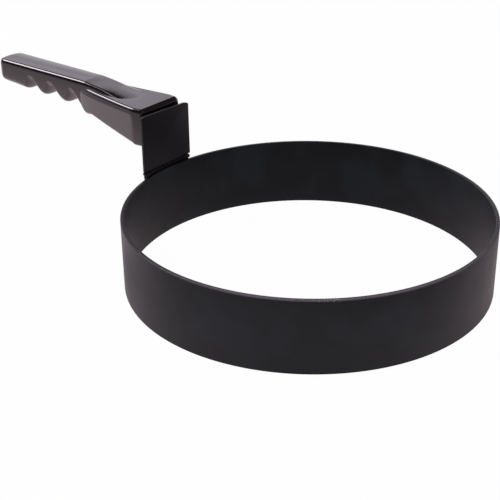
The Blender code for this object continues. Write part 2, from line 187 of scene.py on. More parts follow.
def finish_shape(piece: bpy.types.Object, smooth: float) -> None:
    """Leave edit mode with seams closed, normals outward and round faces smooth.

    Args:
        piece: The piece that is in edit mode.
        smooth: Largest angle between faces that are shaded as one, in degrees.
    """
    bpy.ops.mesh.select_all(action="SELECT")
    bpy.ops.mesh.remove_doubles(threshold=1e-7)
    bpy.ops.mesh.normals_make_consistent(inside=False)
    bpy.ops.object.mode_set(mode="OBJECT")
    piece.data.attributes.remove(piece.data.attributes["number"])
    activate(piece)
    bpy.ops.object.shade_smooth_by_angle(angle=math.radians(smooth))


def extrude_through(name: str, sections: list[list[Place]], smooth: float) -> bpy.types.Object:
    """Extrude a closed outline through a row of sections, with both ends filled.

    Args:
        name: Name of the piece.
        sections: Outlines with the same number of points, in world places.
        smooth: Largest angle between faces that are shaded as one, in degrees.

    Returns:
        The finished piece.
    """
    piece = begin_outline(name, len(sections[0]))
    bpy.ops.mesh.edge_face_add()
    set_outline(piece, sections[0])
    for section in sections[1:]:
        bpy.ops.mesh.extrude_region_move()
        set_outline(piece, section)
    finish_shape(piece, smooth)
    return piece


def carve(piece: bpy.types.Object, cutter: bpy.types.Object, smooth: float) -> None:
    """Cut one shape out of another with an exact Boolean, apply it and remove the cutter.

    Args:
        piece: The piece that is cut.
        cutter: The shape that is taken out of it.
        smooth: Largest angle between faces that are shaded as one, in degrees.
    """
    boolean = piece.modifiers.new("carve", "BOOLEAN")
    boolean.operation = "DIFFERENCE"
    boolean.solver = "EXACT"
    boolean.object = cutter
    activate(piece)
    bpy.ops.object.modifier_apply(modifier=boolean.name)
    bpy.data.objects.remove(cutter, do_unlink=True)
    bpy.ops.object.shade_smooth_by_angle(angle=math.radians(smooth))


# ---------------------------------------------------------------- the shared frame


@dataclass(frozen=True)
class Layout:
    """Sizes that several pieces share, the same as the construction's.

    Attributes:
        ring_radius: Outer radius of the band.
        ring_height: Height of the band.
        tab_wall: Thickness of the tab.
        tab_width: Width of the tab.
        tab_height: Height of the tab.
        tab_lift: How far the tab's lower edge stands above the rim.
        tab_set_in: How far the tab's face stands inside the band's outer radius.
        tang_wall: Thickness of the tang.
        tang_below_tab: How far the tang's top lies below the tab's.
        tang_length: How far the tang reaches behind the tab.
        tang_leg: Width of the tang's leg.
        handle_length: Length of the handle.
        handle_lift: Height of the handle's base above the tab's lower edge.
        screw_along: How far along the handle the screw stands.
        screw_wall: Moulding left between the screw's bore and the tang.
    """

    ring_radius: float = 0.1000
    ring_height: float = 0.0396
    tab_wall: float = 0.0020
    tab_width: float = 0.0396
    tab_height: float = 0.0334
    tab_lift: float = 0.0023
    tab_set_in: float = 0.0008
    tang_wall: float = 0.0015
    tang_below_tab: float = 0.0031
    tang_length: float = 0.0385
    tang_leg: float = 0.0160
    handle_length: float = 0.1283
    handle_lift: float = 0.0136
    screw_along: float = 0.0247
    screw_wall: float = 0.0038

    @property
    def tab_bottom(self) -> float:
        """Height of the tab's lower edge."""
        return self.ring_height + self.tab_lift

    @property
    def tab_top(self) -> float:
        """Height of the tab's upper edge at its near side."""
        return self.tab_bottom + self.tab_height

    @property
    def tab_face(self) -> float:
        """Distance out of the tab's front."""
        return self.ring_radius - self.tab_set_in

    @property
    def tab_back(self) -> float:
        """Distance out of the tab's back."""
        return self.tab_face + self.tab_wall

    @property
    def tang_top(self) -> float:
        """Height of the tang's top."""
        return self.tab_top - self.tang_below_tab

    @property
    def handle_start(self) -> float:
        """Distance out of the handle's end face."""
        return self.tab_back + GAP + self.tang_wall + GAP

    @property
    def handle_base(self) -> float:
        """Height of the underside of the handle's end block."""
        return self.tab_bottom + self.handle_lift

    @property
    def axis_x(self) -> float:
        """Place of the ring's axis along X, with the whole object centred on the origin."""
        return (self.handle_start + self.handle_length - self.ring_radius) / 2

    def at(self, out: float, side: float, height: float) -> Place:
        """World place of a point given by its distance out, its side and its height."""
        return (self.axis_x - out, side, height)

    def on_handle(self, along: float, side: float, up: float) -> Place:
        """World place of a point given from the handle's end face and base."""
        return self.at(self.handle_start + along, side, self.handle_base + up)


# ---------------------------------------------------------------- finishes


def set_node(
    tree: bpy.types.NodeTree,
    node: bpy.types.Node,
    settings: dict | None = None,
    links: dict[str | int, Feed] | None = None,
) -> None:
    """Give a node its settings and links.

    Args:
        tree: The node tree that holds the node.
        node: The node.
        settings: Values by input socket, given by name or number, after the attributes, each
            given with a dot before its name.
        links: By input socket, the output socket that feeds it, or a node for its first live one.
    """
    for key, value in (settings or {}).items():
        if str(key).startswith("."):
            setattr(node, key[1:], value)
        else:
            node.inputs[key].default_value = value
    for key, source in (links or {}).items():
        if isinstance(source, bpy.types.Node):
            source = next(output for output in source.outputs if output.enabled)
        tree.links.new(source, node.inputs[key])


def add_node(
    tree: bpy.types.NodeTree,
    kind: str,
    settings: dict | None = None,
    links: dict[str | int, Feed] | None = None,
) -> bpy.types.Node:
    """Add a node with its settings and links.

    Args:
        tree: The node tree that gets the node.
        kind: Blender's identifier of the shader node, without the words it starts with.
        settings: As for set_node.
        links: As for set_node.

    Returns:
        The new node.
    """
    node = tree.nodes.new("ShaderNode" + kind)
    set_node(tree, node, settings, links)
    return node


def multiply_parts(
    tree: bpy.types.NodeTree, parts: list[tuple[Feed, float, float, float, float]]
) -> bpy.types.Node:
    """Turn values into shares and multiply these.

    Args:
        tree: The node tree that gets the nodes.
        parts: For each value what gives it, where its change starts and ends, and the shares
            before and after that.

    Returns:
        The node that gives the product.
    """
    product = None
    for value, low, high, before, after in parts:
        limits = {"From Min": low, "From Max": high, "To Min": before, "To Max": after}
        share = add_node(tree, "MapRange", limits, {"Value": value})
        if product is None:
            product = share
        else:
            product = add_node(tree, "Math", {".operation": "MULTIPLY"}, {0: product, 1: share})
    return product


def new_material(
    name: str,
) -> tuple[bpy.types.Material, bpy.types.NodeTree, bpy.types.Node, bpy.types.NodeSocket]:
    """Make a Principled material.

    Args:
        name: Name of the material.

    Returns:
        The material, its tree, its Principled node and a socket with Object coordinates.
    """
    material = bpy.data.materials.new(name)
    material.use_nodes = True
    tree = material.node_tree
    place = add_node(tree, "TexCoord").outputs["Object"]
    return material, tree, tree.nodes["Principled BSDF"], place


def dress(piece: bpy.types.Object, material: bpy.types.Material) -> None:
    """Give a piece one material."""
    piece.data.materials.clear()
    piece.data.materials.append(material)


class Rim(Enum):
    """Whether a coated piece has a rim worn from stacking and scraping, with a painted highlight
    along its front.
    """

    NONE = "none"
    WORN = "worn"


@dataclass(frozen=True)
class NonstickCoat:
    """Sprayed and baked non-stick coat on steel: soft black, with a fine pebbled skin.

    The fluoropolymer reflects less than a paint does, so the eye gets a deep grey-black that only
    lightens where the surface turns away. A worn rim gets a painted pale highlight along its front.

    Attributes:
        name: Name of the material.
        dark: Colour between the grains.
        light: Colour of the grains.
        pale: Colour of the paler clouds in the film.
        roughness: Mean roughness.
        rim: Whether the top edge is worn and gets a painted highlight.
        rim_height: Height of the rim's top.
        rim_axis: Place along X of the rim's axis.
        rim_radius: Outer radius of the rim.
        wear_and_highlight_centre: World place where the rim is worn most, also the middle of the
            painted highlight.
        shaded_creases: Heights of creases that get a painted shade, a near-black and dull band.
        rim_highlight: Colour of the painted pale highlight along the rim.
        steel: Colour of the steel where it is rubbed bare.
    """

    name: str = "nonstick_coat"
    dark: str = "#0b1317"
    light: str = "#121c20"
    pale: str = "#20292d"
    roughness: float = 0.46
    rim: Rim = Rim.NONE
    rim_height: float = 0.0396
    rim_axis: float = 0.0
    rim_radius: float = 0.1
    wear_and_highlight_centre: Place = (0.0, 0.0, 0.0)
    shaded_creases: tuple[float, ...] = ()
    rim_highlight: str = "#8f858d"
    steel: str = "#cfc8ca"

    def material(self) -> bpy.types.Material:
        """Build the material.

        Returns:
            The material.
        """
        material, tree, shader, place = new_material(self.name)
        height = add_node(tree, "SeparateXYZ", links={"Vector": place}).outputs["Z"]
        # Sprayed grains are about 0.2 mm, drawn at 0.8 mm so that they show
        size = {"Scale": 1 / (0.8 * MM), "Detail": 3.0, "Roughness": 0.6}
        grain = add_node(tree, "TexNoise", size, {"Vector": place})
        tone = add_node(tree, "MapRange", {"From Min": 0.32, "From Max": 0.70}, {"Value": grain})
        shades = COLOUR | {6: linear(self.dark), 7: linear(self.light)}
        colour = add_node(tree, "Mix", shades, {0: tone})
        pebbles = {"Strength": 0.30, "Distance": 0.05 * MM}
        bump = add_node(tree, "Bump", pebbles, {"Height": grain})
        # The film is uneven over about 30 mm
        size = {"Scale": 1 / (30 * MM), "Detail": 2.0}
        cloud = add_node(tree, "TexNoise", size, {"Vector": place})
        film = add_node(tree, "MapRange", {"From Min": 0.45, "From Max": 0.62}, {"Value": cloud})
        colour = add_node(tree, "Mix", COLOUR | {7: linear(self.pale)}, {0: film, 6: colour})
        gloss = {"To Min": self.roughness - 0.05, "To Max": self.roughness + 0.06}
        rough = add_node(
            tree, "MapRange", {"From Min": 0.3, "From Max": 0.7} | gloss, {"Value": cloud}
        )
        if self.rim is Rim.WORN:
            # A worn rim gets a painted pale highlight along its front, and bare steel where the coat
            # is rubbed through
            painted_highlight, bare = self.wear_and_highlight(tree, place, height)
            for shade, share in ((self.rim_highlight, painted_highlight), (self.steel, bare)):
                colour = add_node(tree, "Mix", COLOUR | {7: linear(shade)}, {0: share, 6: colour})
            set_node(tree, shader, links={"Metallic": bare})
            rough = add_node(tree, "MapRange", {"To Max": 0.30}, {"Value": bare, "To Min": rough})
        for shaded_crease in self.shaded_creases:
            # Painted shade: within about 1 mm to each side of the crease the colour goes near black
            # and the roughness goes up
            off = add_node(tree, "Math", {".operation": "SUBTRACT", 1: shaded_crease}, {0: height})
            off = add_node(tree, "Math", {".operation": "ABSOLUTE"}, {0: off})
            band = {"From Min": 0.9 * MM, "From Max": 0.2 * MM}
            crease_shade = add_node(tree, "MapRange", band, {"Value": off})
            colour = add_node(tree, "Mix", COLOUR | {7: linear("#010101")}, {0: crease_shade, 6: colour})
            rough = add_node(tree, "MapRange", {"To Max": 0.95}, {"Value": crease_shade, "To Min": rough})
        # PTFE has an index of about 1.35
        feeds = {"Base Color": colour, "Roughness": rough, "Normal": bump}
        set_node(tree, shader, {"IOR": 1.36}, feeds)
        return material

    def wear_and_highlight(
        self, tree: bpy.types.NodeTree, place: Feed, height: Feed
    ) -> tuple[bpy.types.Node, bpy.types.Node]:
        """Find where the rim gets its painted pale highlight and where its coat is rubbed through.

        Args:
            tree: The material's tree.
            place: Object coordinates.
            height: Their Z.

        Returns:
            Nodes that give 0 to 1 for the painted highlight and for the bare steel.
        """
        centre = (self.rim_axis, 0.0, self.rim_height)
        out = add_node(tree, "VectorMath", {".operation": "DISTANCE", 1: centre}, {0: place})
        from_worst = {".operation": "DISTANCE", 1: self.wear_and_highlight_centre}
        away = add_node(tree, "VectorMath", from_worst, {0: place})
        # Along the outer millimetre of the rim, where the ring is handled and stacked, the coat is
        # rubbed through in spots, and a painted pale highlight lies over the same band. Both are
        # full within about
        # 40 mm of the worst wear, which lies on the side towards the camera, and absent on the other
        # half.
        edge = multiply_parts(
            tree,
            [
                (height, self.rim_height - 0.8 * MM, self.rim_height - 0.3 * MM, 0.0, 1.0),
                (out, self.rim_radius - 1.2 * MM, self.rim_radius - 0.7 * MM, 0.0, 1.0),
                (away, 112 * MM, 40 * MM, 0.0, 1.0),
            ],
        )
        # Rubbed spots are about 1 mm long
        size = {"Scale": 1 / (1.0 * MM), "Detail": 3.0, "Roughness": 0.65}
        spots = add_node(tree, "TexNoise", size, {"Vector": place})
        # Most wear lies within about 25 mm of one place, where the ring is scraped
        scraped = {"From Min": 34 * MM, "From Max": 2 * MM, "To Min": 0.78, "To Max": 0.57}
        limit = add_node(tree, "MapRange", scraped, {"Value": away})
        over = add_node(tree, "Math", {".operation": "SUBTRACT"}, {0: spots, 1: limit})
        rubbed = add_node(tree, "MapRange", {"From Max": 0.04}, {"Value": over})
        bare = add_node(tree, "Math", {".operation": "MULTIPLY"}, {0: rubbed, 1: edge})
        # The painted pale highlight takes about two thirds of the band's strength
        painted_highlight = add_node(tree, "Math", {".operation": "MULTIPLY", 1: 0.68}, {0: edge})
        return painted_highlight, bare


@dataclass(frozen=True)
class GlossPhenolic:
    """Compression-moulded phenolic: brown-black, glossy, with the faint waves of a polished mould.

    Attributes:
        name: Name of the material.
        body: Colour of the moulding.
        roughness: Roughness where it is clean.
    """

    name: str = "gloss_phenolic"
    body: str = "#0f0807"
    roughness: float = 0.07

    def material(self) -> bpy.types.Material:
        """Build the material.

        Returns:
            The material.
        """
        material, tree, shader, place = new_material(self.name)
        # Handling haze in patches of about 12 mm
        size = {"Scale": 1 / (12 * MM), "Detail": 4.0, "Roughness": 0.55}
        haze = add_node(tree, "TexNoise", size, {"Vector": place})
        gloss = {"To Min": self.roughness, "To Max": self.roughness + 0.06}
        rough = add_node(
            tree, "MapRange", {"From Min": 0.3, "From Max": 0.75} | gloss, {"Value": haze}
        )
        # Waves of the polished mould, about 8 mm long
        size = {"Scale": 1 / (8 * MM), "Detail": 1.0}
        wave = add_node(tree, "TexNoise", size, {"Vector": place})
        depth = {"Strength": 0.10, "Distance": 0.10 * MM}
        bump = add_node(tree, "Bump", depth, {"Height": wave})
        # Filled phenolic has an index of about 1.6
        fixed = {"Base Color": linear(self.body), "IOR": 1.62}
        set_node(tree, shader, fixed, {"Roughness": rough, "Normal": bump})
        return material


@dataclass(frozen=True)
class PlainSteel:
    """Plated, blackened or oiled steel, mottled where the skin took unevenly.

    Attributes:
        name: Name of the material.
        colour: Mean colour of the skin.
        stain: Colour of its darker patches.
        roughness: Mean roughness.
        metallic: How metallic the skin is.
    """

    name: str
    colour: str
    stain: str
    roughness: float
    metallic: float = 1.0

    def material(self) -> bpy.types.Material:
        """Build the material.

        Returns:
            The material.
        """
        material, tree, shader, place = new_material(self.name)
        # Patches of about 1.5 mm
        size = {"Scale": 1 / (1.5 * MM), "Detail": 4.0}
        mottle = add_node(tree, "TexNoise", size, {"Vector": place})
        shades = COLOUR | {6: linear(self.colour), 7: linear(self.stain)}
        colour = add_node(tree, "Mix", shades, {0: mottle})
        gloss = {"To Min": self.roughness - 0.06, "To Max": self.roughness + 0.08}
        rough = add_node(
            tree, "MapRange", {"From Min": 0.3, "From Max": 0.7} | gloss, {"Value": mottle}
        )
        depth = {"Strength": 0.15, "Distance": 0.03 * MM}
        bump = add_node(tree, "Bump", depth, {"Height": mottle})
        feeds = {"Base Color": colour, "Roughness": rough, "Normal": bump}
        set_node(tree, shader, {"Metallic": self.metallic}, feeds)
        return material


# ---------------------------------------------------------------- sub-assemblies


@dataclass
class RingBand:
    """The rolled steel band.

    Attributes:
        layout: The shared frame.
        wall: Thickness of the coated band, as the rims show it.
        edge: Radius of the eased rims.
        steps: How many stretches go round the band.
        wear_and_highlight_angle: Direction where the rim is worn most and its painted highlight is
            full, in degrees from +X.
    """

    layout: Layout
    wall: float = 0.0022
    edge: float = 0.00045
    steps: int = 360
    wear_and_highlight_angle: float = -50.0

    def section(self) -> list[Place]:
        """Closed outline of the band at +X from its axis.

        Returns:
            World places.
        """
        outer = self.layout.ring_radius
        inner = outer - self.wall
        top = self.layout.ring_height
        radii = (self.edge, self.edge)
        outline = arc((outer - self.edge, top - self.edge), radii, 0, 90, 5)
        outline += arc((inner + self.edge, top - self.edge), radii, 90, 180, 5)
        outline += arc((inner + self.edge, self.edge), radii, 180, 270, 5)
        outline += arc((outer - self.edge, self.edge), radii, 270, 360, 5)
        return [(self.layout.axis_x + radius, 0.0, height) for radius, height in outline]

    def build(self) -> bpy.types.Object:
        """Spin the band's section round the ring's axis.

        Returns:
            The band.
        """
        axis = self.layout.axis_x
        section = self.section()
        band = begin_outline("ring_band_coated", len(section))
        set_outline(band, section)
        turn = {"center": (axis, 0.0, 0.0), "axis": (0.0, 0.0, 1.0), "angle": 2 * math.pi}
        bpy.ops.mesh.spin(steps=self.steps, **turn)
        finish_shape(band, 50.0)
        # The worst wear and the middle of the painted rim highlight lie on the side towards the
        # camera
        angle = math.radians(self.wear_and_highlight_angle)
        radius = self.layout.ring_radius
        worn = (axis + radius * math.cos(angle), radius * math.sin(angle), self.layout.ring_height)
        coat = NonstickCoat(
            name="nonstick_coat_band",
            rim=Rim.WORN,
            rim_height=self.layout.ring_height,
            rim_axis=axis,
            rim_radius=radius,
            wear_and_highlight_centre=worn,
        )
        dress(band, coat.material())
        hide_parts("ring_band")
        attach(band, "root")
        return band


@dataclass
class TabPlate:
    """The upright plate on the rim.

    Attributes:
        layout: The shared frame.
        top_fall: How far its top edge falls towards its far side.
        near_corner: Radius of its near top corner.
        low_corner: Radius of its lower corners.
        far_corner: Width and height of its far top corner.
        edge: Radius of the sheared edges under the coat.
    """

    layout: Layout
    top_fall: float = 0.0012
    near_corner: float = 0.0024
    low_corner: float = 0.0007
    far_corner: tuple[float, float] = (0.0052, 0.0016)
    edge: float = 0.00055

    def outline(self, inset: float) -> Outline:
        """Outline of the plate, drawn in all round.

        Args:
            inset: How far it is drawn in.

        Returns:
            Sideways places and heights.
        """
        half = self.layout.tab_width / 2 - inset
        top = self.layout.tab_top - inset
        bottom = self.layout.tab_bottom + inset
        near = self.near_corner - inset
        low = self.low_corner - inset
        wide = self.far_corner[0] - inset
        tall = self.far_corner[1] - inset / 2
        points = arc((half - wide, top - self.top_fall - tall), (wide, tall), 0, 90, 16)
        points += arc((-half + near, top - near), (near, near), 90, 180, 10)
        points += arc((-half + low, bottom + low), (low, low), 180, 270, 5)
        points += arc((half - low, bottom + low), (low, low), 270, 360, 5)
        return points

    def build(self) -> bpy.types.Object:
        """Extrude the plate's outline through its thickness, with rounded edges.

        Returns:
            The plate.
        """
        face = self.layout.tab_face
        back = self.layout.tab_back
        stations = []
        for turn in [math.radians(15 * step) for step in range(7)]:
            out = face + self.edge * (1 - math.sin(turn))
            stations.append((out, self.edge * (1 - math.cos(turn))))
        rows = stations[::-1] + [(face + back - out, inset) for out, inset in stations]
        sections = []
        for out, inset in rows:
            outline = self.outline(inset)
            sections.append([self.layout.at(out, side, height) for side, height in outline])
        plate = extrude_through("tab_plate_coated", sections, 40.0)
        # The tab's coat is a darker, bluer copy of the band's, a painted shade, and the crease under
        # the tab gets a painted shade band
        coat = NonstickCoat(
            name="nonstick_coat_tab",
            dark="#06090d",
            light="#0b0e13",
            pale="#0e1115",
            roughness=0.44,
            shaded_creases=(self.layout.tab_bottom,),
        )
        dress(plate, coat.material())
        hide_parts("tab_plate")
        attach(plate, "root")
        return plate


@dataclass
class RimWeld:
    """The rippled bead under the tab, with a fillet down the band's outer side.

    Attributes:
        layout: The shared frame.
        past_near: How far it runs past the tab's near edge.
        near_taper: Length of its near end's taper.
        short_far: How far it stops short of the tab's far edge.
        far_taper: Length of its far end's taper.
        toe: How far its foot stands in from the band's outer side.
        heel: Share of the way from the band to the tab's back that its heel reaches.
        heel_fade: Share of that reach that is lost at the far end.
        head: How far its head stands past the tab's faces.
        drop: How far its fillet runs down the band.
        drop_least: How far it runs down at least.
        drop_fade: Share of that drop that is lost at the far end.
        fade: Length over which the fillet fades and the bead starts to lean.
        lean: How far its foot lags behind at the far end.
        bulge: How far its sides bulge.
        pitch: Distance between ripples.
        ripples: Shares of the bulge that the even and the uneven ripples take.
        closing: Share of the bead's height that its ends close.
    """

    layout: Layout
    past_near: float = 0.0001
    near_taper: float = 0.0005
    short_far: float = 0.0012
    far_taper: float = 0.0003
    toe: float = 0.00035
    heel: float = 0.92
    heel_fade: float = 0.35
    head: float = 0.00015
    drop: float = 0.0044
    drop_least: float = 0.0002
    drop_fade: float = 0.8
    fade: float = 0.0090
    lean: float = 0.0014
    bulge: float = 0.0003
    pitch: float = 0.0016
    ripples: tuple[float, float] = (0.30, 0.35)
    closing: float = 0.96

    @property
    def near(self) -> float:
        """Sideways place of the near end."""
        return -self.layout.tab_width / 2 - self.past_near

    @property
    def far(self) -> float:
        """Sideways place of the far end."""
        return self.layout.tab_width / 2 - self.short_far

    def ripple(self, side: float) -> float:
        """Swelling of the bead at one place: overlapping puddles, never quite the same."""
        wave = math.cos(2 * math.pi * side / self.pitch)
        uneven = math.sin(side * 913.0) * 0.5 + math.sin(side * 2210.0 + 1.3) * 0.5
        return 1.0 + self.ripples[0] * wave + self.ripples[1] * uneven

    def section(self, side: float) -> list[Place]:
        """Closed outline of the bead at one place.

        Args:
            side: Sideways place.

        Returns:
            World places, up the front and down the back.
        """
        face = self.layout.tab_face
        back = self.layout.tab_back
        low = self.layout.ring_height + GAP
        tall = self.layout.tab_bottom - GAP - low
        past_near = max(0.0, (self.near + self.near_taper - side) / self.near_taper)
        past_far = max(0.0, (side - self.far + self.far_taper) / self.far_taper)
        rise = math.sqrt(1.0 - self.closing * max(past_near, past_far) ** 2)
        fade = ease(self.far - self.fade, self.far, side)
        lean = self.lean * fade
        rim = math.sqrt(self.layout.ring_radius**2 - (side - lean) ** 2)
        foot_front = rim - self.toe * rise
        foot_back = mix(rim, back, self.heel * rise * (1.0 - self.heel_fade * fade))
        head_front = mix(foot_front, face - self.head, rise)
        head_back = mix(foot_back, back + self.head, rise)
        bulge = self.bulge * rise * self.ripple(side) * (1.0 - fade)
        outline = []
        for part in [step / 10 for step in range(11)]:
            out = mix(foot_front, head_front, part) - bulge * math.sin(math.pi * part)
            outline.append((out, low + tall * rise * part))
        for part in [1.0 - step / 8 for step in range(8)]:
            out = mix(foot_back, head_back, part) + bulge * math.sin(math.pi * part)
            outline.append((out, low + tall * rise * part))
        wall = rim + GAP
        drop = self.drop * rise * (1.0 - self.drop_fade * fade) + self.drop_least
        for turn in [math.radians(step) for step in range(0, 90, 10)]:
            out = mix(wall, max(foot_back, wall + 0.1 * MM), math.cos(turn) ** 0.7)
            outline.append((out, low - drop * math.sin(turn)))
        outline += [(wall, low - drop), (wall, low)]
        head = low + tall * rise
        section = []
        for out, up in outline:
            lag = lean * min(1.0, (head - up) / (head - low))
            section.append(self.layout.at(out, side - lag, up))
        return section

    def build(self) -> bpy.types.Object:
        """Extrude the bead from its near to its far end.

        Returns:
            The bead.
        """
        start = self.near + self.near_taper
        stop = self.far - self.far_taper
        sides = [self.near + self.near_taper * part for part in (0.0, 0.06, 0.2, 0.5)]
        sides += spread(start, stop, 0.00025) + [stop]
        sides += [self.far - self.far_taper * part for part in (0.5, 0.2, 0.06, 0.0)]
        weld = extrude_through("rim_weld_coated", [self.section(side) for side in sides], 50.0)
        # The weld's coat is a darker copy of the band's, a painted shade, and its creases at the rim
        # and under the tab get painted shade bands
        coat = NonstickCoat(
            name="nonstick_coat_weld",
            dark="#06070a",
            light="#0a0b0e",
            pale="#0d0e11",
            roughness=0.48,
            shaded_creases=(self.layout.ring_height, self.layout.tab_bottom),
        )
        dress(weld, coat.material())
        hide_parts("rim_weld")
        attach(weld, "root")
        return weld


@dataclass
class Handle:
    """The moulded handle, described from its end face and its base.

    Attributes:
        layout: The shared frame.
        end_round: Radius of the end block's upper end.
        end_corner: Radius of the end block's upright edges.
        block_length: Length of the end block.
        neck_length: Where the neck ends and the grip begins.
        block_half: Half width of the block at its end face.
        block_soft: How softly the block's sides turn into the neck's.
        neck_half: Half width of the neck where it meets the block.
        neck_power: Power of the distance by which the neck narrows.
        waist_half: Half width of the ridge at its narrowest.
        waist_at: Where the ridge is narrowest.
        grip_lag: How far past the neck's end the grip's straight flanks begin.
        grip_flare: Growth of the grip's half width per metre towards the tip.
        grip_top: Height of the grip at its start.
        grip_rise: Rise of the grip per metre towards the tip.
        grip_crown: Crown of the grip's top.
        ridge_slope: Fall of the ridge per metre over the neck.
        ridge_bend: How softly the ridge bends down from the grip.
        ridge_bend_length: Length over which that leaves the grip's height as it is.
        ridge_end: How softly the ridge runs out into the flat top.
        crown: Crown of the ridge's end, from its edges to its middle, which rounds it in plan.
        crown_from: Where the crown starts.
        crown_full: Where it is full.
        shoulder_low: Height of the flat top at the end block.
        shoulder_slope: Rise of the flat top per metre.
        shoulder_bend: Length over which it turns up.
        shoulder_lift: Its last rise where it meets the grip.
        shoulder_lift_length: Length of that rise.
        tip_corner: Radius of the tip in plan.
        tip_edge: Radius of the tip's upper edge.
        tip_lower: Rise of the underside at the tip.
        tip_slope: Rise of the underside per metre before the tip.
        tip_side: Height of the side's upper edge at the tip, as a share of the tip's height.
        crest_round: Radius of the ridge's and the grip's upper edges.
        crest_most: Largest shares of the half width and of the height that it may take.
        shoulder_round: Radius of the neck's upper edges at the block and at the grip.
        shoulder_slow: Radius of their lowest part, where they run out into the sides.
        shoulder_change: Turn at which that part ends, in degrees.
        flank_least: Least depth from the side to the ridge for a full shoulder.
        belly_round: Height of the rounded lower edges at the neck and at the grip.
        belly_most: Largest share of the side's height that it may take.
        belly_in: Width of those at the neck.
        belly_share: Width of those at the grip, as a share of its half width.
        fingers: Places and heights of the grip's crests and hollows.
        neck_below: Places and heights along the neck's underside.
        bore: Radius of the screw's bore.
        hole: Radius of the screw's hole.
        slot_room: How much longer the slot is than the tang.
        smooth: Largest angle between faces that are shaded as one, in degrees.
    """

    layout: Layout
    end_round: float = 0.0024
    end_corner: float = 0.0012
    block_length: float = 0.0072
    neck_length: float = 0.0529
    block_half: float = 0.0162
    block_soft: float = 0.00013
    neck_half: float = 0.0170
    neck_power: float = 0.8
    waist_half: float = 0.0092
    waist_at: float = 0.0377
    grip_lag: float = 0.0025
    grip_flare: float = 0.0040
    grip_top: float = 0.0273
    grip_rise: float = 0.0213
    grip_crown: float = 0.0003
    ridge_slope: float = 0.137
    ridge_bend: float = 0.0016
    ridge_bend_length: float = 0.020
    ridge_end: float = 0.00006
    crown: float = 0.0006
    crown_from: float = 0.0420
    crown_full: float = 0.0290
    shoulder_low: float = 0.0219
    shoulder_slope: float = 0.0434
    shoulder_bend: float = 0.012
    shoulder_lift: float = 0.0012
    shoulder_lift_length: float = 0.010
    tip_corner: float = 0.0047
    tip_edge: float = 0.0024
    tip_lower: float = 0.0095
    tip_slope: float = 0.100
    tip_side: float = 0.68
    crest_round: tuple[float, float] = (0.0021, 0.0027)
    crest_most: tuple[float, float] = (0.9, 0.42)
    shoulder_round: tuple[float, float] = (0.0021, 0.0028)
    shoulder_slow: float = 0.0075
    shoulder_change: float = 20.0
    flank_least: float = 0.0006
    belly_round: tuple[float, float] = (0.0020, 0.0042)
    belly_most: float = 0.55
    belly_in: float = 0.0020
    belly_share: float = 0.80
    fingers: tuple[tuple[float, float], ...] = (
        (0.1182, 0.0132),
        (0.1054, 0.0123),
        (0.0999, 0.0197),
        (0.0891, 0.0113),
        (0.0831, 0.0188),
        (0.0708, 0.0102),
        (0.0642, 0.0177),
        (0.0518, 0.0069),
    )
    neck_below: tuple[tuple[float, float], ...] = (
        (0.0518, 0.0069),
        (0.0451, 0.0085),
        (0.0330, 0.0059),
        (0.0081, 0.0009),
        (0.0063, 0.0001),
        (-0.0003, 0.0000),
    )
    bore: float = 0.0047
    hole: float = 0.0023
    slot_room: float = 0.0008
    smooth: float = 40.0

    @property
    def grip_start(self) -> float:
        """Where the grip's straight flanks begin."""
        return self.neck_length + self.grip_lag

    def half_width(self, along: float) -> float:
        """Half width of the body at one place.

        Args:
            along: Distance from the end face.

        Returns:
            The half width, before the tip and the end face are rounded.
        """
        start = self.grip_start
        if along >= start:
            return self.waist_half + self.grip_flare * (along - self.waist_at)
        block = mix(self.block_half, self.neck_half, along / self.block_length)
        grip = self.waist_half + self.grip_flare * (start - self.waist_at)
        part = (start - along) / (start - self.block_length)
        neck = grip + (self.neck_half - grip) * part**self.neck_power
        return soft_least(block, neck, self.block_soft)

    def ridge_half(self, along: float) -> float:
        """Half width of the grip, and of the ridge that carries on from it over the neck."""
        ridge = self.waist_half + self.grip_flare * max(0.0, along - self.waist_at)
        return min(self.half_width(along), ridge)

    def shoulder(self, along: float) -> float:
        """Height of the neck's flat top.

        Args:
            along: Distance from the end face.

        Returns:
            The height above the handle's base.
        """
        past = along - self.block_length
        turned = (math.hypot(past, self.shoulder_bend) + past) / 2
        lift_end = self.neck_length + self.shoulder_lift_length
        lift = self.shoulder_lift * ease(self.neck_length, lift_end, along)
        return self.shoulder_low + self.shoulder_slope * turned + lift

    def top(self, along: float, out: float) -> float:
        """Height of the grip, which bends down over the neck and runs out into its flat top.

        Args:
            along: Distance from the end face.
            out: Share of the way from the middle to the edge.

        Returns:
            The height, with the crown of the ridge's end.
        """
        past = along - self.neck_length
        bend = soft_least(self.grip_rise * past, self.ridge_slope * past, self.ridge_bend)
        kept = math.exp(-abs(past) / self.ridge_bend_length)
        bend += self.ridge_bend * math.log(2.0) * kept
        flat = self.shoulder(along)
        crown = self.crown * (1.0 - ease(self.crown_full, self.crown_from, along))
        above = self.grip_top + bend - flat - crown * out * out
        # Higher up the softening adds nothing
        if above < MM:
            above = self.ridge_end * math.log1p(math.exp(above / self.ridge_end))
        return flat + above

    def shoulder_arc(self, radius: float, flank: float) -> Outline:
        """Points up the neck's rounded shoulder: a slow turn out of the side, then a closer one.

        Args:
            radius: Radius of the closer turn.
            flank: Depth from the side at which the shoulder stops, where it meets the ridge.

        Returns:
            Depths from the side and heights above the shoulder's start. The last point has the
            full height.
        """
        change = math.radians(self.shoulder_change)
        slow = self.shoulder_slow
        depth = slow * (1.0 - math.cos(change))
        if flank < depth:
            turn = math.acos(1.0 - flank / slow)
        else:
            turn = math.acos(max(0.0, math.cos(change) - (flank - depth) / radius))
        first = min(turn, change)
        angles = [first * step / 5 for step in range(6)]
        angles += [mix(first, turn, step / 11) for step in range(1, 12)]
        points = []
        for angle in angles + [math.pi / 2]:
            if angle <= change:
                points.append((slow * (1.0 - math.cos(angle)), slow * math.sin(angle)))
            else:
                deep = depth + radius * (math.cos(change) - math.cos(angle))
                up = slow * math.sin(change) + radius * (math.sin(angle) - math.sin(change))
                points.append((deep, up))
        return points

